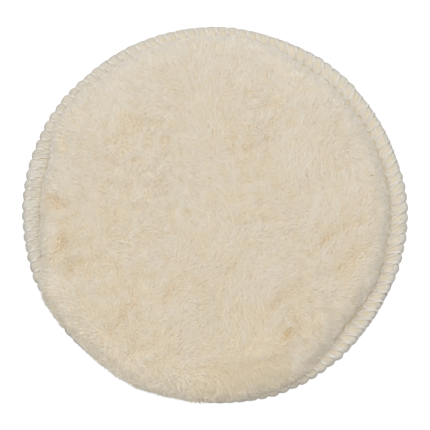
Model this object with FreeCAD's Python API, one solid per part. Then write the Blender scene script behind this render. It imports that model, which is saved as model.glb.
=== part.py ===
import FreeCAD, Part
import math
import os

# Round polishing pad: a wool pile on its hide, bonded to a knitted loop cloth and overlocked
# round the edge with three threads.
# Millimetres, +Z up. The origin is the centre of the loop face, which is the lowest face of the
# pad, and the wool is on top. Angles run anticlockwise seen from above.

# Driving dimensions
PAD_R = 65.0  # tips of the wool lobes between the edge stitches
CUT_R = 63.2  # cut edge of the hide and of the loop cloth, which the stitches wrap
NEEDLE_R = 59.4  # row of holes that the needle thread goes through
NAP_R = 58.2  # raised loops inside the seam, and the foot of the standing wool
STITCHES = 112  # overlock stitches in one turn

# Heights of the layers, from the loop face up
NAP_TOP = 1.2
CLOTH_TOP = 1.8
FILM_TOP = 1.95
HIDE_TOP = 3.25
RIM_TOP = 5.0  # wool that the seam holds down
DOME_FOOT_Z = 5.65  # where the standing wool starts to swell outwards
BULGE_R = 60.4  # widest place of the standing wool
BULGE_Z = 10.0
SIDE_RADIUS = 5.4  # roundness of the wool's side, from the foot to the shoulder
CROWN_Z = 16.0

# Wool lobes between the stitches. Places along the edge are arc lengths from the needle hole.
NOTCH_START = -0.32
NOTCH_END = 1.42
LOBE_WALL_R = 64.07
LOBE_GAP = 0.05  # between the hanging part of a lobe and the cut edge

# Needle holes, slots along the seam
SLIT_LENGTH = 1.3
SLIT_WIDTH = 0.36

# Needle thread
NEEDLE_THREAD_D = 0.3
NEEDLE_HALF_GAP = 0.47  # half the distance between the two strands in one hole
NEEDLE_RUN_Z = 5.69
NEEDLE_LOOP_Z = 0.51
NEEDLE_BEND_R = 0.28
THREAD_END_GAP = 0.1  # between the two ends of one thread, where the turn closes

# Looper threads. The upper one lies on the wool and the lower one under the cloth.
LOOPER_THREAD_D = 0.5
UPPER_RUN_Z = 5.27
UPPER_EDGE_Z = 2.45  # bottom of the upper thread's loop over the edge
LOWER_RUN_Z = 0.93
LOWER_EDGE_Z = 3.55  # top of the lower thread's loop over the edge
EDGE_LOOP_R = 63.785  # where the two loops hook through each other
EDGE_LOOP_S = 0.55
EDGE_LOOP_HALF = 0.65
EDGE_LOOP_TURN = math.radians(28.0)
EDGE_LOOP_BEND_R = 0.6
EDGE_BEND_R = 0.3
UPPER_BIGHT_R = 58.65  # inner run of the upper thread, round the needle hole
UPPER_BIGHT_S = (-1.38, 1.0)
UPPER_BIGHT_BEND_R = 0.45
LOWER_BIGHT_R = 58.6
LOWER_BIGHT_S = (-0.2, 1.1)
LOWER_BIGHT_BEND_R = 0.32

PITCH = 2.0 * math.pi / STITCHES
UP = FreeCAD.Vector(0, 0, 1)


def at(angle, r, z):
    """Point at an angle round the pad, a distance from its axis and a height."""
    return FreeCAD.Vector(r * math.cos(angle), r * math.sin(angle), z)


def along(n, s, r, z):
    """Point at an arc length s past needle hole n, at radius r and height z."""
    return at(n * PITCH + s / r, r, z)


def segment(a, b):
    return Part.LineSegment(a, b).toShape()


def arc(a, b, c):
    return Part.Arc(a, b, c).toShape()


def flat_face(outline, holes):
    return Part.makeFace([outline] + holes, "Part::FaceMakerBullseye")


def slit_wire(n, z):
    """Slot with round ends for needle hole n, along the seam."""
    middle = at(n * PITCH, NEEDLE_R, z)
    out = at(n * PITCH, 1.0, 0.0)
    side = UP.cross(out)
    half = 0.5 * (SLIT_LENGTH - SLIT_WIDTH)
    radius = 0.5 * SLIT_WIDTH
    a = middle - side * half + out * radius
    b = middle + side * half + out * radius
    c = middle + side * half - out * radius
    d = middle - side * half - out * radius
    tip_ahead = middle + side * (half + radius)
    tip_behind = middle - side * (half + radius)
    return Part.Wire([segment(a, b), arc(b, tip_ahead, c), segment(c, d), arc(d, tip_behind, a)])


def slit_wires(z):
    return [slit_wire(n, z) for n in range(STITCHES)]


def layer(radius, bottom, top, holed):
    """Round layer of one material, with the needle holes where the seam goes through it."""
    rim = Part.Wire([Part.makeCircle(radius, FreeCAD.Vector(0, 0, bottom), UP)])
    holes = slit_wires(bottom) if holed else []
    return flat_face(rim, holes).extrude(UP * (top - bottom))


def lobe_outline(z):
    """Outline of the seamed rim: notches on the cut edge and round lobes of wool between them."""
    edges = []
    for n in range(STITCHES):
        notch_start = along(n, NOTCH_START, CUT_R, z)
        notch_end = along(n, NOTCH_END, CUT_R, z)
        notch_middle = along(n, 0.5 * (NOTCH_START + NOTCH_END), CUT_R, z)
        first = n * PITCH + NOTCH_END / CUT_R
        last = (n + 1) * PITCH + NOTCH_START / CUT_R
        wall_start = at(first, LOBE_WALL_R, z)
        wall_end = at(last, LOBE_WALL_R, z)
        tip = at(0.5 * (first + last), PAD_R, z)
        edges.append(arc(notch_start, notch_middle, notch_end))
        edges.append(segment(notch_end, wall_start))
        edges.append(arc(wall_start, tip, wall_end))
        edges.append(segment(wall_end, along(n + 1, NOTCH_START, CUT_R, z)))
    return Part.Wire(edges)


def seamed_rim():
    """Wool held down by the seam, with its lobes hanging over the cut edge."""
    rim = flat_face(lobe_outline(NAP_TOP), slit_wires(NAP_TOP))
    slab = rim.extrude(UP * (RIM_TOP - NAP_TOP))
    layers_room = Part.makeCylinder(CUT_R + LOBE_GAP, HIDE_TOP, FreeCAD.Vector(0, 0, 0), UP)
    return slab.cut(layers_room)


def crown_radius():
    """Radius of the ball whose cap is the crown and which meets the round side without a corner."""
    side_r = BULGE_R - SIDE_RADIUS
    drop = CROWN_Z - BULGE_Z
    return (side_r ** 2 + drop ** 2 - SIDE_RADIUS ** 2) / (2.0 * (drop - SIDE_RADIUS))


def standing_wool():
    """The soft dome inside the seam: a straight foot, a round side and a nearly flat crown."""
    side_r = BULGE_R - SIDE_RADIUS
    ball = crown_radius()
    slope = math.asin(side_r / (ball - SIDE_RADIUS))
    foot_angle = math.asin((DOME_FOOT_Z - BULGE_Z) / SIDE_RADIUS)
    middle_angle = 0.5 * (foot_angle + 0.5 * math.pi - slope)

    def side_point(angle):
        return at(0.0, side_r + SIDE_RADIUS * math.cos(angle), BULGE_Z + SIDE_RADIUS * math.sin(angle))

    def crown_point(angle):
        return at(0.0, ball * math.sin(angle), CROWN_Z - ball + ball * math.cos(angle))

    base_z = 0.5 * (HIDE_TOP + RIM_TOP)
    base_centre = at(0.0, 0.0, base_z)
    foot_r = side_r + SIDE_RADIUS * math.cos(foot_angle)
    base_edge = at(0.0, foot_r, base_z)
    shoulder = crown_point(slope)
    crown = crown_point(0.0)
    profile = Part.Wire([
        segment(base_centre, base_edge),
        segment(base_edge, side_point(foot_angle)),
        arc(side_point(foot_angle), side_point(middle_angle), shoulder),
        arc(shoulder, crown_point(0.5 * slope), crown),
        segment(crown, base_centre),
    ])
    return Part.Face(profile).revolve(FreeCAD.Vector(0, 0, 0), UP, 360)


def wool_pile():
    return seamed_rim().fuse(standing_wool()).Solids[0]


def rounded_path(points, radii):
    """Path of straight runs and tangent arcs, one arc of its own radius at each inner point."""
    edges = []
    last = points[0]
    for i, radius in enumerate(radii, 1):
        back = (points[i - 1] - points[i]).normalize()
        ahead = (points[i + 1] - points[i]).normalize()
        half = 0.5 * back.getAngle(ahead)
        reach = radius / math.tan(half)
        middle = (back + ahead).normalize()
        bend = points[i] + middle * (radius / math.sin(half) - radius)
        bend_end = points[i] + ahead * reach
        edges.append(segment(last, points[i] + back * reach))
        edges.append(arc(points[i] + back * reach, bend, bend_end))
        last = bend_end
    edges.append(segment(last, points[-1]))
    return Part.Wire(edges)


def thread(stitch_points, radii, diameter):
    """One round thread all the way round. Its two ends meet end to end on a straight run, the one
    from the last point of a stitch to the first point of the next."""
    corners = []
    for n in range(STITCHES):
        corners.extend(stitch_points(n))
    run = corners[0] - corners[-1]
    run_middle = corners[-1] + run * 0.5
    gap = run.normalize() * (0.5 * THREAD_END_GAP)
    points = [run_middle + gap] + corners + [run_middle - gap]
    section = Part.Wire([Part.makeCircle(0.5 * diameter, points[0], gap)])
    return rounded_path(points, radii * STITCHES).makePipeShell([section], True, False)


def needle_thread():
    """Runs from hole to hole on top, and dips through each hole to hold the lower thread."""

    def stitch_points(n):
        return [
            along(n, -NEEDLE_HALF_GAP, NEEDLE_R, NEEDLE_RUN_Z),
            along(n, -NEEDLE_HALF_GAP, NEEDLE_R, NEEDLE_LOOP_Z),
            along(n, NEEDLE_HALF_GAP, NEEDLE_R, NEEDLE_LOOP_Z),
            along(n, NEEDLE_HALF_GAP, NEEDLE_R, NEEDLE_RUN_Z),
        ]

    return thread(stitch_points, [NEEDLE_BEND_R] * 4, NEEDLE_THREAD_D)


def looper_thread(run_z, edge_z, turn, bight_r, bight_s, bight_bend):
    """Zigzags between the needle row and the edge, where it loops over the cut edge."""
    step = EDGE_LOOP_HALF * math.cos(turn)
    lean = EDGE_LOOP_HALF * math.sin(turn)

    def stitch_points(n):
        behind = (n, EDGE_LOOP_S - step, EDGE_LOOP_R - lean)
        ahead = (n, EDGE_LOOP_S + step, EDGE_LOOP_R + lean)
        return [
            along(n - 1, bight_s[1], bight_r, run_z),
            along(*behind, run_z),
            along(*behind, edge_z),
            along(*ahead, edge_z),
            along(*ahead, run_z),
            along(n, bight_s[0], bight_r, run_z),
        ]

    edge_radii = [EDGE_BEND_R, EDGE_LOOP_BEND_R, EDGE_LOOP_BEND_R, EDGE_BEND_R]
    return thread(stitch_points, [bight_bend] + edge_radii + [bight_bend], LOOPER_THREAD_D)


def upper_looper_thread():
    return looper_thread(
        UPPER_RUN_Z, UPPER_EDGE_Z, EDGE_LOOP_TURN, UPPER_BIGHT_R, UPPER_BIGHT_S, UPPER_BIGHT_BEND_R
    )


def lower_looper_thread():
    return looper_thread(
        LOWER_RUN_Z, LOWER_EDGE_Z, -EDGE_LOOP_TURN, LOWER_BIGHT_R, LOWER_BIGHT_S, LOWER_BIGHT_BEND_R
    )


def main():
    os.makedirs("parts", exist_ok=True)
    nodes = {
        "wool_pile": wool_pile(),
        "hide_disc": layer(CUT_R, FILM_TOP, HIDE_TOP, True),
        "glue_film": layer(CUT_R, CLOTH_TOP, FILM_TOP, True),
        "loop_ground_cloth": layer(CUT_R, NAP_TOP, CLOTH_TOP, True),
        "loop_nap": layer(NAP_R, 0.0, NAP_TOP, False),
        "needle_thread": needle_thread(),
        "upper_looper_thread": upper_looper_thread(),
        "lower_looper_thread": lower_looper_thread(),
    }
    for name, shape in nodes.items():
        box = shape.BoundBox
        print(name, shape.ShapeType, len(shape.Solids), shape.isValid(), round(shape.Volume, 2),
              [round(v, 3) for v in (box.XMin, box.YMin, box.ZMin, box.XMax, box.YMax, box.ZMax)])
        shape.exportStep("parts/" + name + ".step")


main()
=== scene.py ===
import math

import bpy
import numpy as np
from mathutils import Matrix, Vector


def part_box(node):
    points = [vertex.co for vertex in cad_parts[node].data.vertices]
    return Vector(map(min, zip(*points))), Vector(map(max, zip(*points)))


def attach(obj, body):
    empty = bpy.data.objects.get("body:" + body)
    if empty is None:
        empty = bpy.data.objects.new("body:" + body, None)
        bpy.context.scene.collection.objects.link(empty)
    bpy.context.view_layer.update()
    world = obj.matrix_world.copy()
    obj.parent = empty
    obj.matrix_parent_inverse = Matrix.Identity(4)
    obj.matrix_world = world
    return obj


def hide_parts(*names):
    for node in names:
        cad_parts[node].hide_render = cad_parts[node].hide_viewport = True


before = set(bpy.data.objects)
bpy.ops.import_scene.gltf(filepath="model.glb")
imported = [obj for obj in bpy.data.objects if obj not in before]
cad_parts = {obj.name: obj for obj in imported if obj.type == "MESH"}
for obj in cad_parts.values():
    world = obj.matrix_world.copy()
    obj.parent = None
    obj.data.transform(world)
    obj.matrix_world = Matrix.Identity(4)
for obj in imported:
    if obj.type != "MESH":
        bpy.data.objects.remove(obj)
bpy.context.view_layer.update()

# A round wool polishing pad. The wool stands on its hide, and an overlock seam of three threads
# ties the hide to a knitted loop cloth. Shapes are worked out in millimetres in the CAD frame and
# put into the meshes in metres. Angles run anticlockwise seen from above, from +X.

MM = 0.001
TURN = 2.0 * math.pi


def reach(node):
    """Outer radius, lowest height and highest height of a CAD node, in millimetres."""
    low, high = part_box(node)
    return high[0] / MM, low[2] / MM, high[2] / MM


PAD_R, _, CROWN_Z = reach("wool_pile")
CUT_R, _, HIDE_TOP = reach("hide_disc")
CLOTH_R, NAP_TOP, CLOTH_TOP = reach("loop_ground_cloth")
NAP_R, _, _ = reach("loop_nap")
NEEDLE_THREAD_R = 0.15
NEEDLE_R = reach("needle_thread")[0] - NEEDLE_THREAD_R
LOOPER_R = 0.25
UPPER_RUN_Z = reach("upper_looper_thread")[2] - LOOPER_R
LOWER_RUN_Z = reach("lower_looper_thread")[1] + LOOPER_R
STITCHES = 112
PITCH = TURN / STITCHES
SEAT = 0.02  # gap that keeps stacked faces apart
RIM_Z = 4.9  # top of the wool under the seam
CANOPY = 0.4  # the dense wool lies this far under the fibres' own surface
CREASE_R = NEEDLE_R - 0.4  # where the standing wool meets the seamed rim
NOTCH_R = CUT_R + 0.45  # the seam's threads turn over the edge here
CORE_R, CORE_Z = 61.3, 3.1  # centre line of the rim, which the threads wind round

PILE_FIBRES, PILE_PIECES = 180000, 6
FIBRES_PER_LOBE = 90
FILAMENTS_PER_STITCH = 7
NAP_LOOPS = 4800
GOLDEN = 0.6180339887  # share of a turn from one point of an even spiral to the next

random = np.random.default_rng(20)


# ---------------------------------------------------------------- numbers over arrays


def unit(v):
    """Each vector divided by its own length."""
    return v / np.maximum(np.linalg.norm(v, axis=-1, keepdims=True), 1e-12)


def smooth(x):
    """0 below 0 and 1 above 1, with level ends: three x squared less two x cubed."""
    x = np.clip(x, 0.0, 1.0)
    return x * x * (3.0 - 2.0 * x)


def window(angle, centre, half_width, soft):
    """1 within half_width degrees of the centre, falling smoothly to 0 over soft degrees."""
    away = np.abs((np.degrees(angle) - centre + 180.0) % 360.0 - 180.0)
    return smooth((half_width + soft - away) / soft)


def waves(points, length, seed, count=36):
    """Soft random field of unit spread: a sum of cosine waves near one length, in random
    directions and phases."""
    draw = np.random.default_rng(seed)
    heading = unit(draw.normal(size=(count, points.shape[-1])))
    rate = heading * (TURN / length * draw.uniform(0.65, 1.5, (count, 1)))
    return np.cos(points @ rate.T + draw.uniform(0, TURN, count)).sum(-1) * math.sqrt(2.0 / count)


def polar(angle, r, z):
    """Points at an angle round the pad, a distance from its axis and a height."""
    angle, r, z = np.broadcast_arrays(angle, r, z)
    return np.stack([r * np.cos(angle), r * np.sin(angle), z], -1)


def ring_curve(points, step):
    """Closed Catmull-Rom curve through the points, resampled to equal steps along its length."""
    fine = 8  # parts of the curve between one point and the next
    t = (np.arange(fine) / fine)[None, :, None]
    a, b, c, d = (np.roll(points, k, 0)[:, None] for k in (1, 0, -1, -2))
    curve = 0.5 * (2 * b + (c - a) * t + (2 * a - 5 * b + 4 * c - d) * t**2
                   + (3 * b - a - 3 * c + d) * t**3)
    curve = curve.reshape(-1, 3)
    closed = np.vstack([curve, curve[:1]])
    along = np.concatenate([[0.0], np.cumsum(np.linalg.norm(np.diff(closed, axis=0), axis=1))])
    count = int(along[-1] / step)
    where = np.arange(count) * along[-1] / count
    return np.stack([np.interp(where, along, closed[:, k]) for k in range(3)], -1)


# ---------------------------------------------------------------- meshes


def in_scene(name, data):
    """An object that holds a mesh, a light or a camera, put into the scene."""
    obj = bpy.data.objects.new(name, data)
    bpy.context.scene.collection.objects.link(obj)
    return obj


def piece(name, points, face_groups, finish, uv=None, rounded=True):
    """A mesh object from points in millimetres and arrays of faces, one array for each number of
    corners. uv gives two numbers a point, kept as a map called strand. rounded faces are shaded as
    one curved surface."""
    mesh = bpy.data.meshes.new(name)
    corners = np.concatenate([g.reshape(-1) for g in face_groups]).astype(np.int32)
    sizes = np.concatenate([np.full(len(g), g.shape[1]) for g in face_groups])
    starts = np.concatenate([[0], np.cumsum(sizes)[:-1]]).astype(np.int32)
    mesh.vertices.add(len(points))
    mesh.vertices.foreach_set("co", (points * MM).astype(np.float32).reshape(-1))
    mesh.loops.add(len(corners))
    mesh.loops.foreach_set("vertex_index", corners)
    mesh.polygons.add(len(starts))
    mesh.polygons.foreach_set("loop_start", starts)
    if uv is not None:
        layer = mesh.uv_layers.new(name="strand")
        layer.data.foreach_set("uv", uv[corners].astype(np.float32).reshape(-1))
    mesh.update(calc_edges=True)
    mesh.polygons.foreach_set("use_smooth", np.full(len(starts), rounded))
    mesh.materials.append(finish)
    obj = in_scene(name, mesh)
    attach(obj, "root")
    return obj


def tube_faces(tubes, rings, sides, wrap):
    """Side faces of tubes whose points run tube by tube and ring by ring. With wrap, the last ring
    joins the first."""
    t = np.arange(tubes)[:, None, None] * rings
    r = np.arange(rings if wrap else rings - 1)[None, :, None]
    s = np.arange(sides)[None, None, :]
    here = (t + r) * sides
    ahead = (t + (r + 1) % rings) * sides
    after = (s + 1) % sides
    return np.stack([here + s, here + after, ahead + after, ahead + s], -1).reshape(-1, 4)


def strands(name, path, normal, half_width, sides, tint, finish):
    """Many short fibres, each a closed spindle. path holds each fibre's points, and normal is a
    direction across it. The first and last points are its ends, and every point between carries a
    ring of the given half width: point + half width (across cos turn + other sin turn)."""
    count, stations = path.shape[:2]
    rings = stations - 2
    forward = unit(np.gradient(path, axis=1))
    across = unit(normal - (normal * forward).sum(-1, keepdims=True) * forward)
    other = np.cross(forward, across)
    turn = (np.arange(sides) / sides * TURN)[None, None, :, None]
    offset = across[:, :, None] * np.cos(turn) + other[:, :, None] * np.sin(turn)
    body = (path[:, :, None] + offset * half_width[:, :, None, None])[:, 1:-1]
    points = np.concatenate([body.reshape(-1, 3), path[:, 0], path[:, -1]])
    first = np.arange(count)[:, None] * rings * sides
    last = first + (rings - 1) * sides
    side = np.arange(sides)
    ahead = (side + 1) % sides
    root = np.broadcast_to((count * rings * sides + np.arange(count))[:, None], (count, sides))
    tip = root + count
    foot = np.stack([first + ahead, first + side, root], -1).reshape(-1, 3)
    fan = np.stack([last + side, last + ahead, tip], -1).reshape(-1, 3)
    shape = (count, rings, sides)
    height = np.broadcast_to((np.arange(1, rings + 1) / (rings + 1))[None, :, None], shape)
    shade = np.broadcast_to(tint[:, None, None], shape)
    uv = np.stack([shade.reshape(-1), height.reshape(-1)], -1)
    uv = np.concatenate([uv, np.stack([tint, 0 * tint], -1), np.stack([tint, 0 * tint + 1], -1)])
    groups = [foot, fan]
    if rings > 1:
        groups.append(tube_faces(count, rings, sides, False))
    return piece(name, points, groups, finish, uv, rounded=False)


# ---------------------------------------------------------------- materials


class Finish:
    """A material with one Principled shader, and short ways to add its nodes."""

    def __init__(self, name, roughness, sheen=0.0):
        self.material = bpy.data.materials.new(name)
        self.material.use_nodes = True
        self.nodes = self.material.node_tree.nodes
        self.links = self.material.node_tree.links
        self.shader = self.nodes["Principled BSDF"]
        self.shader.inputs["Roughness"].default_value = roughness
        self.shader.inputs["Specular IOR Level"].default_value = 0.25
        self.shader.inputs["Sheen Weight"].default_value = sheen
        self.shader.inputs["Sheen Roughness"].default_value = 0.6
        self.place = self.nodes.new("ShaderNodeTexCoord").outputs["Object"]

    def noise(self, length_mm, detail=2.0):
        """Noise whose blotches are about length_mm across."""
        noise = self.nodes.new("ShaderNodeTexNoise")
        noise.inputs["Scale"].default_value = 1.0 / (length_mm * MM)
        noise.inputs["Detail"].default_value = detail
        self.links.new(self.place, noise.inputs["Vector"])
        return noise.outputs["Fac"]

    def ramp(self, value, low, high, low_colour, high_colour, middle=None, middle_colour=None):
        """Colour that goes from low_colour to high_colour as the value goes from low to high, by
        way of middle_colour at the middle value, if there is one."""
        ramp = self.nodes.new("ShaderNodeValToRGB")
        ramp.color_ramp.elements[0].position = low
        ramp.color_ramp.elements[0].color = (*low_colour, 1.0)
        ramp.color_ramp.elements[1].position = high
        ramp.color_ramp.elements[1].color = (*high_colour, 1.0)
        if middle is not None:
            ramp.color_ramp.elements.new(middle).color = (*middle_colour, 1.0)
        self.links.new(value, ramp.inputs["Fac"])
        return ramp.outputs["Color"]

    def mixer(self, kind, a, b):
        """A mix node of a kind between two colours."""
        mix = self.nodes.new("ShaderNodeMix")
        mix.data_type = "RGBA"
        mix.blend_type = kind
        self.links.new(a, mix.inputs["A"])
        self.links.new(b, mix.inputs["B"])
        return mix

    def blend(self, share, a, b):
        """Colour a towards colour b by the share in a socket."""
        mix = self.mixer("MIX", a, b)
        self.links.new(share, mix.inputs["Factor"])
        return mix.outputs["Result"]

    def times(self, a, b):
        """Colour a multiplied by colour b."""
        mix = self.mixer("MULTIPLY", a, b)
        mix.inputs["Factor"].default_value = 1.0
        return mix.outputs["Result"]

    def strand_map(self):
        """The two numbers of the strand map, such as a fibre's tint and the height along it."""
        uv = self.nodes.new("ShaderNodeUVMap")
        uv.uv_map = "strand"
        parts = self.nodes.new("ShaderNodeSeparateXYZ")
        self.links.new(uv.outputs["UV"], parts.inputs["Vector"])
        return parts.outputs["X"], parts.outputs["Y"]

    def colour(self, socket):
        """Base colour from a socket."""
        self.links.new(socket, self.shader.inputs["Base Color"])
        return self

    def bump(self, height, depth_mm, strength=1.0):
        """Small relief from a height socket."""
        bump = self.nodes.new("ShaderNodeBump")
        bump.inputs["Strength"].default_value = strength
        bump.inputs["Distance"].default_value = depth_mm * MM
        self.links.new(height, bump.inputs["Height"])
        self.links.new(bump.outputs["Normal"], self.shader.inputs["Normal"])
        return self


BLACK = (0.0, 0.0, 0.0)
WHITE = (1.0, 1.0, 1.0)
WOOL_PALE = (0.977, 0.963, 0.930)
WOOL_CREAM = (0.974, 0.947, 0.880)
WOOL_SHADE = (0.958, 0.910, 0.790)
WOOL_DEEP = (0.960, 0.905, 0.780)
WOOL_ROOT = (0.945, 0.850, 0.640)
# painted shade colour of the dense wool in its hollows and along the crease
PAINTED_POCKET_SHADE = (0.900, 0.800, 0.620)
MAT_WARM = (0.785, 0.705, 0.560)
MAT_CREAM = (0.820, 0.755, 0.630)
RIM_PALE = (0.755, 0.726, 0.662)
RIM_CREAM = (0.768, 0.738, 0.668)
# painted shade colour of the rim wool, in the crease and under the overhanging wool
RIM_PAINTED_SHADE = (0.760, 0.630, 0.450)
THREAD_PALE = (0.930, 0.908, 0.855)
THREAD_CREAM = (0.895, 0.862, 0.795)


def fibre_finish(name, brightness):
    """Cream wool: warm at the root and paler at the tip. A fibre's tint takes it from a shaded
    cream through cream to a whiter one. brightness scales all of it."""
    wool = Finish(name, 0.8)
    tint, height = wool.strand_map()
    creams = wool.ramp(tint, 0.0, 1.0, WOOL_SHADE, WOOL_PALE, 0.45, WOOL_CREAM)
    roots = wool.ramp(tint, 0.0, 1.0, WOOL_ROOT, WOOL_DEEP)
    rise = wool.ramp(height, 0.0, 0.6, BLACK, WHITE)
    standing = wool.blend(rise, roots, creams)
    warm = tuple(brightness * part for part in (1.0, 0.992, 0.975))
    mottled = wool.ramp(wool.noise(2.2), 0.35, 0.65, warm, (brightness,) * 3)
    return wool.colour(wool.times(standing, mottled)).material


def pile_finish():
    """The dense wool below the fibres, with painted shade: darker and warmer in its hollows and
    along the crease, which the map's first number gives.
    """
    wool = Finish("dense wool", 0.85)
    painted_hollow_shade, _ = wool.strand_map()
    patches = wool.ramp(wool.noise(6.0, 3.0), 0.35, 0.65, MAT_WARM, MAT_CREAM)
    # painted shade: darker and warmer in the hollows and the crease
    pocket = wool.ramp(painted_hollow_shade, 0.0, 1.0, WHITE, PAINTED_POCKET_SHADE)
    lint = wool.noise(0.45, 4.0)
    flecks = wool.ramp(lint, 0.3, 0.7, (0.99, 0.97, 0.93), WHITE)
    wool.colour(wool.times(wool.times(patches, pocket), flecks))
    return wool.bump(lint, 0.15, 0.5).material


def lobe_finish():
    """The wool held between the stitches, with painted shade: darker and warmer in the crease and
    paler towards the edge, and darker and warmer all over where the map's first number says that
    the standing wool covers it."""
    wool = Finish("rim wool", 0.85)
    painted_shade_under_wool, along = wool.strand_map()
    # painted shade: darker and warmer in the crease, where shade falls
    bare = wool.ramp(along, 0.0, 0.6, RIM_PAINTED_SHADE, RIM_PALE, 0.16, RIM_CREAM)
    shaded_under_wool = wool.ramp(along, 0.0, 1.0, RIM_PAINTED_SHADE, RIM_CREAM)
    lint = wool.noise(0.4, 4.0)
    flecks = wool.ramp(lint, 0.3, 0.7, (0.99, 0.965, 0.92), WHITE)
    wool.colour(wool.times(wool.blend(painted_shade_under_wool, bare, shaded_under_wool), flecks))
    return wool.bump(lint, 0.12, 0.5).material


def thread_finish():
    """Plied thread with a faint lustre and fine fuzz, drifting between cream and paler cream."""
    thread = Finish("plied seam thread", 0.5)
    fuzz = thread.noise(0.12, 3.0)
    slow = thread.noise(5.0, 2.0)
    base = thread.ramp(slow, 0.3, 0.7, THREAD_CREAM, THREAD_PALE)
    flecks = thread.ramp(fuzz, 0.3, 0.7, (0.985, 0.97, 0.94), WHITE)
    thread.colour(thread.times(base, flecks))
    return thread.bump(fuzz, 0.05, 0.6).material


def grained_finish(name, roughness, grain_mm, detail, colours, spread=0.2, relief_mm=0.0,
                   sheen=0.0):
    """A surface that drifts between two colours with a grain, which also gives its relief. The
    colours change over grain values within spread of the middle one."""
    surface = Finish(name, roughness, sheen)
    grain = surface.noise(grain_mm, detail)
    surface.colour(surface.ramp(grain, 0.5 - spread, 0.5 + spread, *colours))
    if relief_mm:
        surface.bump(grain, relief_mm)
    return surface.material


def hide_finish():
    """Pale tanned skin with a fine suede grain."""
    tans = (0.52, 0.39, 0.24), (0.66, 0.52, 0.35)
    return grained_finish("tanned skin", 0.85, 0.35, 5.0, tans, relief_mm=0.12)


def glue_finish():
    """Thin cured bonding film, slightly uneven."""
    ambers = (0.66, 0.62, 0.50), (0.76, 0.73, 0.62)
    return grained_finish("bonding film", 0.45, 3.0, 3.0, ambers, spread=0.15, relief_mm=0.05)


def cloth_finish():
    """Off-white knitted yarn."""
    whites = (0.68, 0.65, 0.57), (0.80, 0.78, 0.71)
    return grained_finish("knitted ground yarn", 0.8, 0.3, 4.0, whites, relief_mm=0.08, sheen=0.1)


def loop_finish():
    """Fine glossy filament of the raised loops."""
    whites = (0.74, 0.72, 0.66), (0.86, 0.85, 0.80)
    return grained_finish("loop filament", 0.4, 4.0, 2.0, whites, sheen=0.1)


fibre = fibre_finish("cream wool fibre", 1.0)
rim_fibre = fibre_finish("seamed wool fibre", 0.9)
dense_wool = pile_finish()
lobe_wool = lobe_finish()
seam_thread = thread_finish()
ground_yarn = cloth_finish()
loop_yarn = loop_finish()


# ---------------------------------------------------------------- the standing wool


def overhang(angle):
    """How far the wool spills over the seam, from 0, not at all, to 1, right over the edge."""
    return np.maximum.reduce([
        window(angle, 233.0, 26.0, 16.0),
        0.96 * window(angle, 272.0, 20.0, 26.0),
        0.45 * window(angle, 145.0, 6.0, 12.0),
        0.30 * window(angle, 100.0, 22.0, 25.0),
    ])


def side_shape(angle):
    """Bulge radius, its height, and the width of the rounded shoulder, at each angle: each a plain
    value, more or less of it where the wool spills over, and slow unevenness."""
    over = overhang(angle)
    plain_r, spill = 57.6, 5.9  # where nothing spills over, and how much further it can go
    lumps = 0.25 * np.cos(3 * angle + 1.0) + 0.2 * np.cos(7 * angle + 2.2)
    left = window(angle, 178.0, 26.0, 16.0)
    right = window(angle, 332.0, 24.0, 20.0)
    bulge_r = plain_r + spill * over + lumps * (1.0 - 0.7 * over)
    bulge_r = bulge_r + 1.05 * window(angle, 262.0, 13.0, 14.0) + 0.7 * left
    bulge_z = 7.4 - 1.0 * over - 0.8 * left - 0.7 * right + 0.25 * np.cos(5 * angle + 0.4)
    shoulder = 9.5 + 2.0 * over + 0.6 * np.cos(4 * angle + 2.0)
    return bulge_r, bulge_z, shoulder


# Hollows where the pile has parted: place, direction of the parting in degrees, length, width
# and depth, in millimetres.
HOLLOWS = (
    (-53.0, 2.0, 140.0, 4.5, 2.4, 1.5),
    (-50.0, 22.0, 100.0, 3.5, 1.8, 0.9),
    (-51.0, -12.0, 75.0, 5.0, 2.0, 1.1),
    (-46.5, -21.0, 30.0, 4.0, 1.8, 0.8),
    (36.0, -12.0, 40.0, 8.0, 2.0, 0.9),
    (47.0, -6.0, 25.0, 5.0, 1.8, 0.7),
    (44.0, -18.0, 48.0, 9.0, 2.4, 0.8),
    (20.0, -33.0, 52.0, 6.0, 1.6, 0.9),
    (23.5, -43.0, 50.0, 7.0, 1.8, 1.1),
    (-16.0, -30.0, 48.0, 5.0, 1.7, 0.8),
    (-31.0, -38.0, 52.0, 5.0, 1.6, 0.7),
    (4.0, -22.0, 45.0, 5.0, 1.5, 0.6),
    (-36.0, 6.0, 70.0, 4.0, 1.5, 0.5),
    (12.0, 20.0, 20.0, 5.0, 1.8, 0.5),
)


def front_step(x, y):
    """1 on the outer part of the pile at the front, which hangs a little lower, and 0 elsewhere.
    It also marks painted shade there in the fibres' tint.
    """
    edge_r = 53.0 + 0.6 * np.sin(0.35 * x)
    front = window(np.arctan2(y, x), 279.0, 11.0, 7.0)
    return front * smooth((np.hypot(x, y) - edge_r) / 1.6 + 0.5)


def hollow_depth(x, y):
    """Sum of long round-ended dents, each a Gaussian across and along its own direction."""
    depth = 0.0 * x
    for cx, cy, heading, length, width, deep in HOLLOWS:
        turn = math.radians(heading)
        along = (x - cx) * math.cos(turn) + (y - cy) * math.sin(turn)
        across = (y - cy) * math.cos(turn) - (x - cx) * math.sin(turn)
        depth += deep * np.exp(-(along / length) ** 2 - (across / width) ** 2)
    return depth


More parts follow.
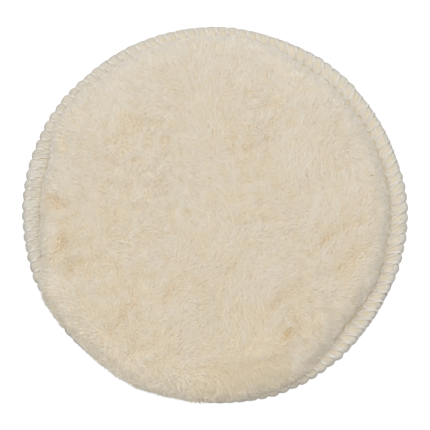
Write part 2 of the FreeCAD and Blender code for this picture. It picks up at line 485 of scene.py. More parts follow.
def lay_direction(x, y):
    """Which way the pile is combed, as a level vector: outwards in curves on the upper right,
    up to the right in the lower half, and swirling slowly everywhere."""
    place = np.stack([x, y], -1)
    r = np.hypot(x, y) + 1e-6
    outward = place / r[..., None]
    swirl = np.stack([-outward[..., 1], outward[..., 0]], -1)
    drift = np.stack([waves(place, 38.0, 3), waves(place, 38.0, 4)], -1)
    tufts = np.stack([waves(place, 7.0, 8, 60), waves(place, 7.0, 9, 60)], -1)
    streak = np.array([math.cos(math.radians(50.0)), math.sin(math.radians(50.0))])
    lower = smooth((12.0 - y) / 40.0)[..., None]
    edge = smooth((r - 34.0) / 24.0)[..., None]
    curl = np.exp(-((x - 42.0) ** 2 + (y + 8.0) ** 2) / 18.0**2)[..., None]
    flow = 0.55 * drift + 0.3 * tufts + 1.5 * lower * streak
    flow = flow + 1.5 * edge * outward + 1.4 * curl * swirl
    return flow + 0.7 * (1.0 - lower) * (0.6 * outward + 0.5 * swirl)


def disc_grid(cells):
    """A square grid wrapped onto a disc, so that its cells are all about one size. For each point
    its angle and its share of the radius, then the faces, and the points of the edge in order. The
    longer of a point's two distances from the middle gives its share, and their ratio its angle."""
    grid = np.linspace(-1.0, 1.0, cells + 1)
    a, b = np.meshgrid(grid, grid, indexing="ij")
    wide = np.abs(a) > np.abs(b)
    major = np.where(wide, a, b)
    ratio = np.divide(np.where(wide, b, a), major, out=np.zeros_like(a), where=major != 0)
    angle = np.where(wide, ratio * math.pi / 4, math.pi / 2 - ratio * math.pi / 4)
    angle = angle + np.where(major < 0, math.pi, 0.0)
    index = np.arange((cells + 1) ** 2).reshape(cells + 1, cells + 1)
    faces = np.stack([index[:-1, :-1], index[1:, :-1], index[1:, 1:], index[:-1, 1:]], -1)
    edge = np.concatenate([index[-1, :-1], index[:0:-1, -1], index[0, :0:-1], index[:-1, 0]])
    return angle, np.abs(major), faces.reshape(-1, 4), edge


def wool_surface(angle, station, sink=0.0):
    """Point on the wool and its outward direction. Stations 0 to 1 cross the flat crown, 1 to 2
    are a quarter of an ellipse down the shoulder, and 2 to 3 a quarter back in to the crease. The
    surface is then pushed out by soft waves of several sizes and in by the hollows and sink."""
    bulge_r, bulge_z, shoulder = side_shape(angle)
    crown_r = bulge_r - shoulder
    over = overhang(angle)
    crease_r = np.minimum(CREASE_R, bulge_r - 0.6)
    crease_z = RIM_Z + 0.1 + 1.0 * over
    down = np.clip(station - 1.0, 0.0, 1.0) * 0.5 * math.pi
    under = np.clip(station - 2.0, 0.0, 1.0) * 0.5 * math.pi
    r = crown_r * np.clip(station, 0.0, 1.0) + shoulder * np.sin(down)
    r = r - (bulge_r - crease_r) * (1.0 - np.cos(under))
    top = CROWN_Z - 0.7 - 0.5 * (r / PAD_R) ** 2  # the crown falls a little towards its edge
    z = bulge_z + (top - bulge_z) * np.cos(down) - (bulge_z - crease_z) * np.sin(under)
    lean = np.where(station < 2.0, np.sin(down), np.cos(under))
    rise = np.where(station < 2.0, np.cos(down), -np.sin(under))
    point = polar(angle, r, z)
    facing = unit(polar(angle, lean, rise))
    relief = 0.22 * waves(point, 15.0, 5) + 0.20 * waves(point, 5.0, 6, 60)
    relief = relief + 0.08 * waves(point, 2.0, 7, 80)
    relief = relief - hollow_depth(point[..., 0], point[..., 1])
    relief = relief - 0.3 * front_step(point[..., 0], point[..., 1])
    # both die out towards the crease
    relief = relief * smooth((3.0 - station) * 1.6) - sink * smooth((3.0 - station) * 3.0)
    return point + facing * relief[..., None], facing


def wool_body():
    """One closed skin: a disc grid for the crown, then rings that carry it down the side, over the
    rim and back under to the middle. The map's first number rises to 1 in the hollows, and a
    little along the needle row in the crease: it marks painted shade, where the dense wool is
    coloured darker and warmer."""
    around = STITCHES * 8  # points in a ring
    angle, share, crown_faces, edge = disc_grid(around // 4)
    crown, _ = wool_surface(angle, share, CANOPY)
    ring_angle = -math.pi / 4 + np.arange(around) * TURN / around
    stations = np.concatenate([1.0 + np.arange(1, 15) / 14, 2.0 + np.arange(1, 9) / 8])
    side, _ = wool_surface(ring_angle[None, :], stations[:, None], CANOPY)
    floor_z = HIDE_TOP + SEAT
    edge_r = CUT_R + 0.1
    # radius and height of each ring from the crease, over the rim and in under the wool
    rim = np.array([
        (CREASE_R + 0.3, RIM_Z + 0.2),
        (CREASE_R + 1.4, RIM_Z + 0.35),
        (CREASE_R + 2.8, RIM_Z + 0.35),
        (CUT_R - 0.6, RIM_Z + 0.2),
        (CUT_R, RIM_Z - 0.2),
        (edge_r, RIM_Z - 0.9),
        (edge_r, floor_z + 0.1),
        (CUT_R - 0.1, floor_z),
        (0.65 * CUT_R, floor_z),
        (0.3 * CUT_R, floor_z),
        (0.08 * CUT_R, floor_z),
    ])
    rim_rings = polar(ring_angle[None, :], rim[:, :1], rim[:, 1:])
    rings = np.concatenate([side, rim_rings])
    start = crown[..., 0].size
    rows = np.vstack([edge, start + np.arange(len(rings) * around).reshape(len(rings), around)])
    after = np.roll(rows, -1, 1)
    ring_faces = np.stack([rows[:-1], rows[1:], after[1:], after[:-1]], -1)
    pole = start + rings[..., 0].size
    fan = np.stack([rows[-1], np.full(around, pole), after[-1]], -1)
    points = np.concatenate([crown.reshape(-1, 3), rings.reshape(-1, 3), [[0.0, 0.0, floor_z]]])
    quads = np.concatenate([crown_faces, ring_faces.reshape(-1, 4)])
    # painted shade: the hollows and the crease along the needle row, where shade falls, are marked
    # for a darker, warmer colour
    painted_hollow_shade = np.clip(hollow_depth(points[:, 0], points[:, 1]), 0, 1)
    painted_crease_shade = np.exp(-((np.hypot(points[:, 0], points[:, 1]) - NEEDLE_R) / 0.7) ** 2)
    painted_hollow_shade = np.maximum(painted_hollow_shade, 0.3 * painted_crease_shade * (points[:, 2] < RIM_Z + 0.5))
    return piece("wool_body", points, [quads, fan], dense_wool, np.stack([painted_hollow_shade, 0 * painted_hollow_shade], -1))


def golden_spread(count):
    """Evenly spread places on the wool: a golden-angle spiral over equal shares of its area."""
    station = np.linspace(0.0, 3.0, 400)
    line, _ = wool_surface(np.zeros(400), station)
    step = np.linalg.norm(np.diff(line, axis=0), axis=1)
    middle_r = np.hypot(line[:, 0], line[:, 1])
    area = np.concatenate([[0.0], np.cumsum(step * 0.5 * (middle_r[1:] + middle_r[:-1]))])
    share = (np.arange(count) + 0.5) / count
    angle = (np.arange(count) * TURN * GOLDEN) % TURN
    return angle, np.interp(share * area[-1], area, station)


def paleness_and_painted_light(place, hollows):
    """How white the wool is, 0 to 1: cream in the middle with slow random tone, and painted light
    and shade: whiter near the edge and towards the top, which face the light, and darker and
    warmer in the hollows and on the outer part at the front, where shade falls."""
    x, y, r = place[:, 0], place[:, 1], np.hypot(place[:, 0], place[:, 1])
    angle = np.arctan2(y, x)
    # painted light: whiter towards the edge, and most towards the top, the side that faces the
    # softbox
    rim = smooth((r - 38.0) / 16.0) * (0.02 + 0.07 * np.sin(angle))
    slow = 0.07 * waves(place, 12.0, 51) + 0.07 * waves(place, 4.0, 52)
    # painted light and shade: 0.002 y makes the wool lighter towards the top, and the front band
    # and the hollows take it down to the darker shaded cream, where shade falls
    return 0.50 + 0.002 * y + rim + slow - 0.44 * front_step(x, y) - 0.62 * hollows


def pile_fibres(count, groups):
    """Tapered fibre tufts all over the wool. Each starts just under the surface, rises along the
    outward direction and bends over along the lay: root + outward (a t - b t squared) + lay (c t +
    d t squared)."""
    angle, station = golden_spread(count)
    angle = angle + random.normal(0, 0.004, count)
    place, _ = wool_surface(angle, station)
    parted = smooth((hollow_depth(place[:, 0], place[:, 1]) - 0.45) / 0.7)
    kept = random.uniform(0, 1, count) > 0.4 * parted  # fewer fibres in the deep hollows
    angle, station, count = angle[kept], station[kept], int(kept.sum())
    root, facing = wool_surface(angle, station)
    # On the crown a fibre lies along the combing with some strays, and on the side it hangs.
    flow = lay_direction(root[:, 0], root[:, 1])
    level = np.concatenate([flow, np.zeros((count, 1))], -1)
    stray = np.concatenate([random.normal(size=(count, 2)), np.zeros((count, 1))], -1)
    strength = smooth(np.linalg.norm(level, axis=1) / 0.9)
    level = unit(unit(level) + (1.0 - 0.58 * strength[:, None]) * stray)
    outward = polar(angle, 1.0, 0.0)
    on_side = smooth((station - 0.9) / 0.9)[:, None]
    hang = unit(outward + np.array([0.0, 0.0, -0.35]) + 0.35 * random.normal(size=(count, 3)))
    level = unit(level * (1.0 - on_side) + hang * on_side)
    lay = unit(level - (level * facing).sum(-1, keepdims=True) * facing)
    lay = lay * (0.45 + 0.55 * np.maximum(strength[:, None], on_side))
    low = smooth((station - 1.3) / 1.2)  # fibres are shorter low down
    length = random.uniform(1.7, 3.3, count) * (1.0 - 0.4 * low)
    rise = random.uniform(0.16, 0.36, count) * length * (1.0 - 0.45 * low)
    t = np.array([0.0, 0.42, 1.0])[None, :, None]
    up = rise[:, None, None] * (1.9 * t - 0.9 * t**2)
    forth = length[:, None, None] * (0.55 * t + 0.4 * t**2)
    foot = root - (CANOPY + 0.1) * facing
    path = foot[:, None] + facing[:, None] * up * 1.6 + lay[:, None] * forth
    # a fibre follows the hollows that it crosses
    dip = hollow_depth(path[..., 0], path[..., 1])
    path = path - facing[:, None] * (dip - dip[:, :1])[..., None]
    width = random.uniform(0.065, 0.12, count)[:, None] * np.ones((1, 3))
    # the tint adds random tone to painted light and shade: whiter at the top and edge, darker and
    # warmer in the hollows and the front band
    tint = np.clip(paleness_and_painted_light(root, dip[:, 0]) + 0.33 * random.normal(size=count), 0, 1)
    normal = np.broadcast_to(facing[:, None], path.shape)
    made = []
    for k in range(groups):
        pick = slice(k, None, groups)
        made.append(strands(
            f"wool_fibres_{k + 1}", path[pick], normal[pick], width[pick], 3, tint[pick], fibre
        ))
    return made


# ---------------------------------------------------------------- the seam


def left_side(angle):
    """1 on the left, where the lobes swell most and few filaments show, and 0 on the right."""
    return window(angle, 180.0, 50.0, 40.0)


def leg_slants(angle):
    """Slant of a stitch's two legs from the radial line, as tangents. The outer end of a leg is
    ahead of its inner end."""
    mean = 18.0 + 6.0 * np.cos(angle + math.radians(20.0))
    half_gap = 8.0  # degrees from the mean slant to either leg
    return np.tan(np.radians(mean - half_gap)), np.tan(np.radians(mean + half_gap))


def notch_angle(n):
    """Angle at which stitch n turns over the edge, so that its inner run centres on its hole."""
    hole = n * PITCH
    near, far = leg_slants(hole)
    back = 0.5 * (near + far) * (NOTCH_R - NEEDLE_R)
    return hole + (back - 0.5 * PITCH * NEEDLE_R) / NEEDLE_R


def puffiness(angle):
    """How far the wool swells between the stitches, most on the left and least where the wool
    spills over the seam."""
    return (0.22 + 0.44 * window(angle, 180.0, 45.0, 40.0)) * (1.0 - 0.7 * overhang(angle))


def edge_swell(angle):
    """How far a lobe stands out past its stitches at the edge, least on the upper right."""
    full = np.maximum.reduce([
        window(angle, 176.0, 36.0, 20.0), window(angle, 344.0, 20.0, 14.0),
        window(angle, 302.0, 16.0, 16.0), 0.6 * window(angle, 50.0, 6.0, 8.0),
    ])
    return 0.45 + 0.80 * full


def tuck(angle):
    """How far the seamed rim is drawn in under the wool that hangs over it, in millimetres."""
    return 0.35 * window(angle, 233.0, 27.0, 10.0)


def edge_drift(angle):
    """Slow unevenness of the pad's outline, in millimetres outwards."""
    return -0.05 - tuck(angle) + 0.25 * (
        window(angle, 290.0, 22.0, 18.0) + window(angle, 158.0, 14.0, 14.0)
        + 2.4 * window(angle, 102.0, 16.0, 18.0) + 0.5 * window(angle, 350.0, 12.0, 14.0)
        - 2.2 * window(angle, 325.0, 6.0, 12.0) - 1.2 * window(angle, 325.0, 20.0, 10.0)
    )


# The path of a lobe over the rim: share of the way, radius, height and half its own thickness.
LOBE_U = np.array([0.0, 0.10, 0.30, 0.52, 0.68, 0.80, 0.92, 1.0])
LOBE_R = np.array([57.5, 58.5, 60.8, 62.6, 63.4, 63.7, 63.65, 63.5])
LOBE_Z = np.array([4.95, 5.0, 5.0, 4.8, 4.2, 3.2, 2.2, 1.55])
LOBE_THICK = np.array([0.3, 0.7, 1.0, 1.0, 1.0, 1.0, 0.85, 0.2])


def lobe_form(angle, along):
    """For places along a lobe, from 0 to 1: how far over the edge each is, how far the lobe swells
    there, and the share of that which is left beside its stitches."""
    over_edge = smooth((along - 0.42) / 0.25)
    swell = puffiness(angle) * (1.0 - over_edge) + edge_swell(angle) * over_edge
    return over_edge, swell, 0.80 - 0.72 * over_edge


def lobe_room(angle, r):
    """Left and right limits, as arc lengths at radius r, of the room between stitch and next."""
    near, far = leg_slants(angle)
    back = np.clip(NOTCH_R - r, 0.0, None)
    return -back * near, PITCH * r - back * far


def rim_lobes():
    """The wool between the stitches: a row of soft lobes, each carried along a path from the
    crease, over the edge and down. A section runs round as across = half width times the cosine of
    a turn, squared off a little, and height = its thickness times a crest that swells above and
    stays shallow below. Its width fills the room between its two stitches."""
    angle = notch_angle(np.arange(STITCHES))[:, None]
    around, stations = 12, 14
    u = np.linspace(0.0, 1.0, stations)
    r = np.interp(u, LOBE_U, LOBE_R)[None, :]
    z = np.interp(u, LOBE_U, LOBE_Z)[None, :]
    half_height = np.interp(u, LOBE_U, LOBE_THICK)[None, :]
    uneven = random.uniform(0.85, 1.12, (STITCHES, 1))
    over_edge, swell, valley = lobe_form(angle, u[None, :])
    swell = swell * uneven
    out_r = np.gradient(r, axis=1)
    out_z = np.gradient(z, axis=1)
    long = np.hypot(out_r, out_z)
    lean, rise = -out_z / long, out_r / long
    left, right = lobe_room(angle, r)
    middle = 0.5 * (left + right)
    half_width = (0.5 * (right - left) + 0.2) * np.clip(half_height / 0.7, 0.3, 1.0)
    valley = valley[:, :, None]
    side = (np.arange(around) / around * TURN)[None, None, :]
    crest = np.sin(side)
    proud = (valley + (1.0 - valley) * crest) * swell[:, :, None]
    height = half_height[:, :, None] * np.where(crest > -0.01, proud, 0.55 * crest)
    across = half_width[:, :, None] * np.cos(side) * np.abs(np.cos(side)) ** 0.1
    at_r = (r + edge_drift(angle) * over_edge)[:, :, None] + lean[:, :, None] * height
    at_z = z[:, :, None] + rise[:, :, None] * height
    at_angle = angle[:, :, None] + (middle[:, :, None] + across) / r[:, :, None]
    points = polar(at_angle, at_r, at_z).reshape(-1, 3)
    points = points + 0.05 * np.stack([waves(points, 1.5, 11 + k) for k in range(3)], -1)
    first = np.arange(STITCHES)[:, None] * stations * around
    ends = first + (stations - 1) * around
    corner = np.arange(around)
    quads = tube_faces(STITCHES, stations, around, False)[:, ::-1]
    shape = (STITCHES, stations, around)
    along = np.broadcast_to(u[None, :, None], shape)
    # painted shade: the share of overhanging wool marks lobes to be coloured darker and warmer all
    # over
    painted_shade_under_wool = np.broadcast_to(overhang(angle)[:, :, None], shape)
    uv = np.stack([painted_shade_under_wool.reshape(-1), along.reshape(-1)], -1)
    caps = [first + corner, ends + corner[::-1]]
    return piece("rim_lobes", points, [quads, *caps], lobe_wool, uv)


def rim_fibres(per_lobe):
    """Short wool fibres that lie along the lobes, from the crease towards the edge. The lobe bows
    across its width as the root of 1 - 0.95 across squared, and each fibre lifts off it a little
    towards its tip."""
    count = STITCHES * per_lobe
    angle = notch_angle(np.repeat(np.arange(STITCHES), per_lobe))[:, None]
    u = random.uniform(0.0, 1.0, count)
    across = random.uniform(-0.95, 0.95, (count, 1))
    run = np.linspace(0.0, 1.0, 3)[None, :]
    along = np.clip(u[:, None] * 0.85 + run * 0.22, 0.0, 1.0)
    r = np.interp(along, LOBE_U, LOBE_R)
    z = np.interp(along, LOBE_U, LOBE_Z)
    # how far outwards the lobe faces, from straight up in the crease to level at the edge
    lean = np.interp(along, [0.0, 0.3, 0.5, 0.68, 0.84, 1.0], [0.0, 0.03, 0.2, 0.7, 1.0, 0.95])
    rise = np.sqrt(1.0 - lean**2)
    left, right = lobe_room(angle, r)
    half_width = 0.5 * (right - left) - 0.15
    over_edge, swell, valley = lobe_form(angle, along)
    bow = (valley + (1.0 - valley) * np.sqrt(1.0 - 0.95 * across**2)) * swell
    lift = 0.97 * bow - 0.04 + 0.13 * run * random.uniform(0.2, 1.0, (count, 1))
    at_angle = angle + (0.5 * (left + right) + across * half_width) / r
    path = polar(at_angle, r + edge_drift(angle) * over_edge + lean * lift, z + rise * lift)
    width = random.uniform(0.05, 0.09, (count, 1)) * np.ones((1, 3))
    normal = polar(at_angle, lean, rise)
    # painted shade and light: the fibres are darker and warmer near the crease and whiter towards
    # the edge, besides random tone
    tint = np.clip(0.35 + 0.5 * u + 0.15 * random.normal(size=count), 0, 1)
    return strands("rim_fibres", path, normal, width, 3, tint, rim_fibre)


def thread_rings(name, curves, radius, sides, step, finish):
    """Strands carried along closed curves through the given points, in one piece. A section is
    round, radius times (1 + 0.06 times a slow wave), and stands square to its curve."""
    points, faces, start = [], [], 0
    side = (np.arange(sides) / sides * TURN)[None, :]
    for curve in curves:
        path = ring_curve(curve, step)
        forward = unit(np.roll(path, -1, 0) - np.roll(path, 1, 0))
        away = path - unit(path * np.array([1.0, 1.0, 0.0])) * CORE_R - np.array([0.0, 0.0, CORE_Z])
        across = unit(away - (away * forward).sum(-1, keepdims=True) * forward)
        other = np.cross(forward, across)
        ring = across[:, None] * np.cos(side)[..., None] + other[:, None] * np.sin(side)[..., None]
        swell = radius * (1.0 + 0.06 * waves(path, 1.6, 31))
        points.append((path[:, None] + ring * swell[:, None, None]).reshape(-1, 3))
        faces.append(tube_faces(1, len(path), sides, True) + start)
        start += len(path) * sides
    return piece(name, np.concatenate(points), faces, finish)


def stitch_points(table, jitter):
    """Control points of every stitch: each row of the table gives an angle, a radius and a height
    for all stitches, and a little unevenness is added."""
    points = np.stack([polar(*row) for row in table], 1)
    return (points + random.normal(0, jitter, points.shape)).reshape(-1, 3)


def looper_curve(run_z, edge_z, bow, spread, bight_r, fan, lift):
    """Points of one strand of a looper thread: in along one leg, round the needle hole, out along
    the next leg, over the edge and back. run_z is the height of its run at the needle row, edge_z
    the height at which it turns back at the edge, and bight_r the radius of its turn round a hole.
    bow is how much higher the legs lie than the run at the
    holes, spread is half the width of its loop over the edge, fan is how far the strand lies from
    the middle of its leg at the needle row, and lift raises it."""
    n = np.arange(STITCHES)
    angle = notch_angle(n)
    before = notch_angle(n - 1)
    near, far = leg_slants(angle)
    near_before, _ = leg_slants(before)
    over = 1.0 if run_z > edge_z else -1.0
    hole_r = NEEDLE_R - 0.1
    leg_r = 61.2  # where a leg lies highest
    run_z = run_z + lift * over
    top = run_z + bow + 0.15 * left_side(angle) * (over > 0.0)
    edge_r = NOTCH_R + 0.2 + lift - 0.5 * tuck(angle)
    fan = fan * (0.35 + 0.65 * window(angle, 25.0, 60.0, 50.0))

    def leg(at, slant, r, aside):
        """Angle of a place on a leg, at radius r and aside from the leg's middle line."""
        share = (NOTCH_R - r) / (NOTCH_R - hole_r)
        return at - ((NOTCH_R - r) * slant - aside * (0.35 + 0.65 * share)) / r

    table = [
        (leg(before, near_before, hole_r, fan) + 0.10 / hole_r, hole_r, run_z),
        (leg(before, near_before, bight_r, fan) + 0.35 / bight_r, bight_r, run_z - 0.1 * over),
        (leg(angle, far, bight_r, -fan) - 0.35 / bight_r, bight_r, run_z - 0.1 * over),
        (leg(angle, far, hole_r, -fan) - 0.10 / hole_r, hole_r, run_z),
        (leg(angle, far, leg_r, -fan), leg_r, top),
        (angle - (0.8 * spread + 0.4 * fan) / NOTCH_R, NOTCH_R - 0.55, top - 0.1 * over),
        (angle - (spread + 0.3 * fan) / NOTCH_R, edge_r, run_z - 0.5 * over),
        (angle - 0.8 * spread / NOTCH_R, edge_r, 0.5 * (run_z + edge_z)),
        (angle, edge_r - 0.25, edge_z),
        (angle + 0.8 * spread / NOTCH_R, edge_r, 0.5 * (run_z + edge_z)),
        (angle + (spread + 0.3 * fan) / NOTCH_R, edge_r, run_z - 0.5 * over),
        (angle + (0.8 * spread + 0.4 * fan) / NOTCH_R, NOTCH_R - 0.55, top - 0.1 * over),
        (leg(angle, near, leg_r, fan), leg_r, top),
    ]
    return stitch_points(table, 0.03)


def seam_filaments(per_stitch):
    """Fine filaments of the bulky looper thread. In each stitch they fan out from the notch at the
    edge to the needle row, over the held wool, as open runs with pointed ends. Few show on the
    left, and a stitch has twice as many on the upper right, where the seam's end laps its start."""
    n = np.arange(STITCHES)
    degrees = np.degrees(n * PITCH)
    lap = (degrees > 10.0) & (degrees < 50.0)
    n = np.concatenate([np.repeat(n, per_stitch), np.repeat(n[lap], per_stitch)])
    sparse = 0.8 * left_side(n * PITCH)
    n = n[random.uniform(0.0, 1.0, len(n)) > sparse]
    angle = notch_angle(n)[:, None]
    near, far = leg_slants(angle)
    share = random.uniform(0.0, 1.0, (len(n), 1))
    slant = near + (far - near) * share
    aside = random.uniform(-0.4, 1.0, (len(n), 1)) * (1.0 - window(angle, 180.0, 60.0, 40.0))
    run = np.linspace(0.0, 1.0, 8)[None, :]
    way_in = [NOTCH_R + 0.15, NOTCH_R + 0.1, NOTCH_R - 0.8, CREASE_R + 0.3]
    r = np.interp(run, [0.0, 0.16, 0.3, 1.0], way_in)
    r = r - 0.6 * tuck(angle) * (run < 0.2)
    z = np.interp(run, [0.0, 0.16, 0.3, 0.7, 1.0], [3.2, 4.6, 5.46, 5.55, 5.2])
    z = z + random.uniform(-0.06, 0.12, (len(n), 1))
    z = z + 0.18 * left_side(angle) * smooth((run - 0.1) * 5.0)
    at = angle + (aside * (0.3 + 0.7 * run) - np.clip(NOTCH_R - r, 0.0, None) * slant) / r
    path = polar(at, r, z)
    width = random.uniform(0.045, 0.085, (len(n), 1)) * np.ones((1, 8))
    normal = np.broadcast_to(np.array([0.0, 0.0, 1.0]) + 0 * path, path.shape)
    tint = random.uniform(0, 1, len(n))
    return strands("seam_filaments", path, normal, width, 4, tint, seam_thread)


def needle_ring():
    """The needle thread: from hole to hole on top, over the upper looper thread, and down through
    each hole round the lower looper thread."""
    hole = np.arange(STITCHES) * PITCH
    half = 0.3 / NEEDLE_R  # half the width of a dip
    table = [
        (hole - 1.9 * half, NEEDLE_R, UPPER_RUN_Z + 0.25),
        (hole - half, NEEDLE_R, UPPER_RUN_Z - 0.9),
        (hole - half, NEEDLE_R, LOWER_RUN_Z + 0.6),
        (hole, NEEDLE_R, LOWER_RUN_Z - 0.42),
        (hole + half, NEEDLE_R, LOWER_RUN_Z + 0.6),
        (hole + half, NEEDLE_R, UPPER_RUN_Z - 0.9),
        (hole + 1.9 * half, NEEDLE_R, UPPER_RUN_Z + 0.25),
        (hole + 0.5 * PITCH, NEEDLE_R, UPPER_RUN_Z + 0.32),
    ]
    points = stitch_points(table, 0.015)
    return thread_rings("needle_seam", [points], NEEDLE_THREAD_R, 7, 0.36, seam_thread)


# ---------------------------------------------------------------- the loop cloth


def round_layer(name, radius, cells, top_z, bottom_relief, finish):
    """A thin closed disc: a flat top, and a bottom whose height is a function of its place."""
    angle, share, faces, edge = disc_grid(cells)
    flat = polar(angle, radius * share, 0.0).reshape(-1, 3)
    top = flat + np.array([0.0, 0.0, top_z])
    bottom = flat + np.stack([0 * flat[:, 0], 0 * flat[:, 0], bottom_relief(flat)], -1)
    count = len(flat)
    after = np.roll(edge, -1)
    wall = np.stack([edge + count, after + count, after, edge], -1)
    quads = np.concatenate([faces, faces[:, ::-1] + count, wall])
    return piece(name, np.concatenate([top, bottom]), [quads], finish)


def knit_relief(flat):
    """Wales and courses of a fine knit: a cosine across and a smaller one along."""
    wale, course = 0.9, 0.7  # the pitch of each
    x, y = flat[:, 0], flat[:, 1]
    return NAP_TOP + 0.06 + 0.05 * np.cos(TURN * x / wale) * (1.0 + 0.5 * np.cos(TURN * y / course))


def mat_relief(flat):
    """The felted foot of the nap, softly uneven, which rises into the cloth at its rim."""
    r = np.hypot(flat[:, 0], flat[:, 1])
    uneven = 0.07 * waves(flat[:, :2], 2.4, 41) + 0.05 * waves(flat[:, :2], 0.9, 42)
    return NAP_TOP - 0.45 + uneven + 0.3 * smooth((r - NAP_R + 1.5) / 1.5)


def nap_loops(count):
    """Raised loops on the face. Each is half an ellipse that stands on the mat and leans a little:
    foot + forth (1 - cos) / 2 times its width + down sin times its height."""
    k = np.arange(count)
    r = (NAP_R - 0.9) * np.sqrt((k + 0.5) / count)
    angle = k * TURN * GOLDEN
    foot = polar(angle, r, NAP_TOP - 0.42)
    foot[:, :2] += random.normal(0, 0.15, (count, 2))
    heading = random.uniform(0, TURN, count)
    forth = polar(heading, 1.0, 0.0)
    lean = polar(heading + math.pi / 2, random.uniform(-0.35, 0.35, count), 0.0)
    wide = random.uniform(0.7, 1.1, count)[:, None, None]
    high = random.uniform(0.55, 0.72, count)[:, None, None]
    stations = 7
    swing = (np.arange(stations) / (stations - 1) * math.pi)[None, :, None]
    down = (np.array([0.0, 0.0, -1.0]) + lean)[:, None]
    path = foot[:, None] + forth[:, None] * (0.5 * wide * (1 - np.cos(swing)))
    path = path + down * high * np.sin(swing)
    normal = np.broadcast_to(np.cross(forth[:, None], down), path.shape)
    width = np.full((count, stations), 0.055)
    return strands("nap_loops", path, normal, width, 3, random.uniform(0, 1, count), loop_yarn)


# ---------------------------------------------------------------- assembly

body = wool_body()
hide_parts("wool_pile")
for tuft in pile_fibres(PILE_FIBRES, PILE_PIECES) + [rim_lobes(), rim_fibres(FIBRES_PER_LOBE)]:
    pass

upper_strands = [
    looper_curve(UPPER_RUN_Z, 2.5, bow=0.45, spread=0.26, bight_r=58.75, fan=0.22, lift=0.0),
    looper_curve(UPPER_RUN_Z, 2.7, bow=0.45, spread=0.06, bight_r=58.85, fan=-0.16, lift=0.06),
]
upper = thread_rings("upper_looper_seam", upper_strands, 0.13, 7, 0.38, seam_thread)
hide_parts("upper_looper_thread")
seam_filaments(FILAMENTS_PER_STITCH)
lower_strands = [
    looper_curve(LOWER_RUN_Z, 3.5, bow=0.03, spread=0.42, bight_r=58.65, fan=0.16, lift=0.0),
    looper_curve(LOWER_RUN_Z, 3.4, bow=0.03, spread=0.16, bight_r=58.75, fan=-0.14, lift=0.04),
]
lower = thread_rings("lower_looper_seam", lower_strands, 0.15, 6, 0.48, seam_thread)
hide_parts("lower_looper_thread")
needle = needle_ring()
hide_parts("needle_thread")

cloth = round_layer("loop_cloth_ground", CLOTH_R, 150, CLOTH_TOP - SEAT, knit_relief, ground_yarn)
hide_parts("loop_ground_cloth")
mat = round_layer("nap_mat", NAP_R, 100, NAP_TOP - SEAT, mat_relief, loop_yarn)
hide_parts("loop_nap")
loops = nap_loops(NAP_LOOPS)

for node, finish in (("hide_disc", hide_finish()), ("glue_film", glue_finish())):
    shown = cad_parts[node]
    for material_slot in shown.material_slots:
        material_slot.material = finish


# ---------------------------------------------------------------- floor, light and camera


def studio_floor():
    """A pale level floor under the pad, which curves up into a low wall all round it: rings of
    points at rising radius and height, round a middle point."""
    white = Finish("pale floor", 0.9)
    white.shader.inputs["Base Color"].default_value = (0.2, 0.2, 0.2, 1.0)
    white.shader.inputs["Emission Color"].default_value = (*WHITE, 1.0)
    white.shader.inputs["Emission Strength"].default_value = 0.93
    around = 96
    angle = (np.arange(around) * TURN / around)[None, :]
    # radius and height of each ring, in metres
    profile = np.array([(2.6, 0.0), (2.8, 0.03), (2.93, 0.12), (3.0, 0.3), (3.0, 1.3)])
    rings = polar(angle, profile[:, :1], profile[:, 1:]).reshape(-1, 3)
    first = np.arange(around)
    fan = np.stack([first, np.roll(first, -1), np.full(around, len(rings))], -1)
    faces = tube_faces(1, len(profile), around, False).tolist() + fan.tolist()
    mesh = bpy.data.meshes.new("floor")
    mesh.from_pydata([*rings.tolist(), (0.0, 0.0, 0.0)], [], faces)
    mesh.materials.append(white.material)
    floor = in_scene("floor", mesh)
    floor.visible_diffuse = False  # its whiteness doesn't light the pad from below
    floor.visible_shadow = False  # and it doesn't keep the surround's light off the pad


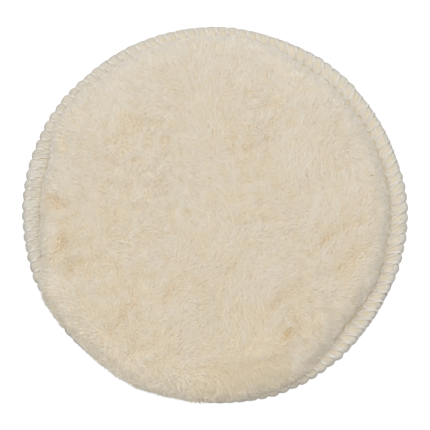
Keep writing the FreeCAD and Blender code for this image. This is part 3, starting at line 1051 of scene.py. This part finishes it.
def softbox(name, place, size, power):
    """A large square light that faces the pad."""
    data = bpy.data.lights.new(name, "AREA")
    data.size = size
    data.energy = power
    lamp = in_scene(name, data)
    lamp.location = place
    away = -np.array(place)
    lamp.rotation_euler = (
        math.atan2(math.hypot(away[0], away[1]), -away[2]), 0.0, math.atan2(-away[0], away[1])
    )


def studio_world(strength, below):
    """A white surround. Its strength rises from below, under the level of the pad, to strength
    high above it."""
    world = bpy.data.worlds.new("white surround")
    world.use_nodes = True
    nodes, links = world.node_tree.nodes, world.node_tree.links
    surround = nodes["Background"]
    surround.inputs["Color"].default_value = (*WHITE, 1.0)
    heading = nodes.new("ShaderNodeTexCoord")
    parts = nodes.new("ShaderNodeSeparateXYZ")
    rise = nodes.new("ShaderNodeMapRange")
    rise.inputs["From Min"].default_value, rise.inputs["From Max"].default_value = -0.1, 0.5
    rise.inputs["To Min"].default_value, rise.inputs["To Max"].default_value = below, strength
    links.new(heading.outputs["Generated"], parts.inputs["Vector"])
    links.new(parts.outputs["Z"], rise.inputs["Value"])
    links.new(rise.outputs["Result"], surround.inputs["Strength"])
    bpy.context.scene.world = world


def studio_camera(elevation, distance, frame_width):
    """A long lens that looks at the pad from the front, high up. frame_width is how much of the
    pad's plane it takes in, and distance how far away it stands, both in metres."""
    data = bpy.data.cameras.new("camera")
    data.sensor_width = 36.0
    data.lens = data.sensor_width * distance / frame_width
    data.clip_start, data.clip_end = 0.01, 20.0
    camera = in_scene("camera", data)
    tilt = math.radians(elevation)
    aim_y, aim_z = -0.8 * MM, 4.0 * MM  # the point that it looks at
    camera.location = (0.0, aim_y - distance * math.cos(tilt), aim_z + distance * math.sin(tilt))
    camera.rotation_euler = (math.pi / 2 - tilt, 0.0, 0.0)
    bpy.context.scene.camera = camera


studio_floor()
softbox("overhead softbox", (-0.06, 0.12, 1.09), size=0.9, power=6.05)
studio_world(strength=0.52, below=0.34)
studio_camera(elevation=79.0, distance=0.95, frame_width=0.1445)
bpy.context.scene.view_settings.view_transform = "Standard"
bounces = 20  # light passes from fibre to fibre many times in pale wool
bpy.context.scene.cycles.max_bounces = bounces
bpy.context.scene.cycles.diffuse_bounces = bounces
